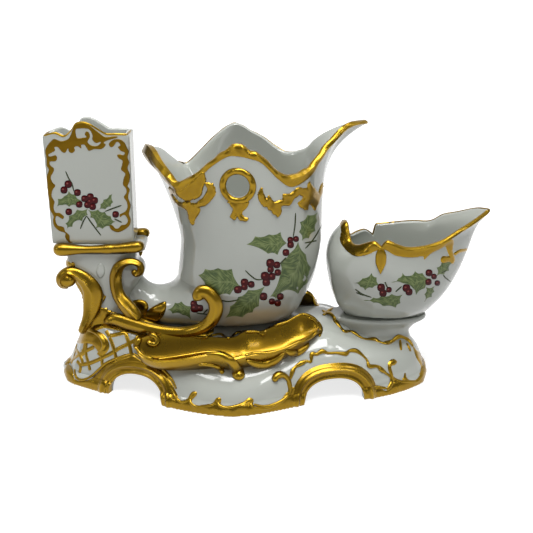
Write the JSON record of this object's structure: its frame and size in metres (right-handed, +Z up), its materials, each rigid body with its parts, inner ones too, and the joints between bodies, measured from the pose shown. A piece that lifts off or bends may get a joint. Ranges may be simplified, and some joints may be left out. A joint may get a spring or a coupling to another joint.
{
  "type": "porcelain desk set",
  "caption": "Rococo moulded porcelain desk set with an upright box, a horn-shaped vase, a boat-shaped bowl and pen trays on one footed base.",
  "frame": {"origin": "middle of the whole set's footprint, on the surface that it stands on", "axes": "+X along the set from the upright box towards the bowl, +Y from the front towards the rear, +Z up"},
  "size_m": [0.2494, 0.1112, 0.1527],
  "materials": {
    "porcelain": "gloss",
    "gilding": "gloss"
  },
  "bodies": {
    "root": {"plinth": "porcelain", "arch_moulding_left_front": "gilding", "arch_moulding_left_rear": "gilding", "arch_moulding_right_front": "gilding", "arch_moulding_right_rear": "gilding", "vase": "porcelain", "vase_ring_front": "gilding", "vase_ring_rear": "gilding", "block": "porcelain", "ledge": "porcelain", "ledge_bar_front": "gilding", "ledge_bar_rear": "gilding", "box": "porcelain", "hook_scroll_front": "gilding", "hook_scroll_rear": "gilding", "volute_scroll_front": "gilding", "volute_scroll_rear": "gilding", "leaf_scroll_front": "gilding", "leaf_scroll_rear": "gilding", "pen_tray_front": "gilding", "pen_tray_rear": "gilding", "neck": "porcelain", "bowl": "porcelain", "bowl_drop_front": "gilding", "bowl_drop_rear": "gilding"}
  },
  "joints": []
}
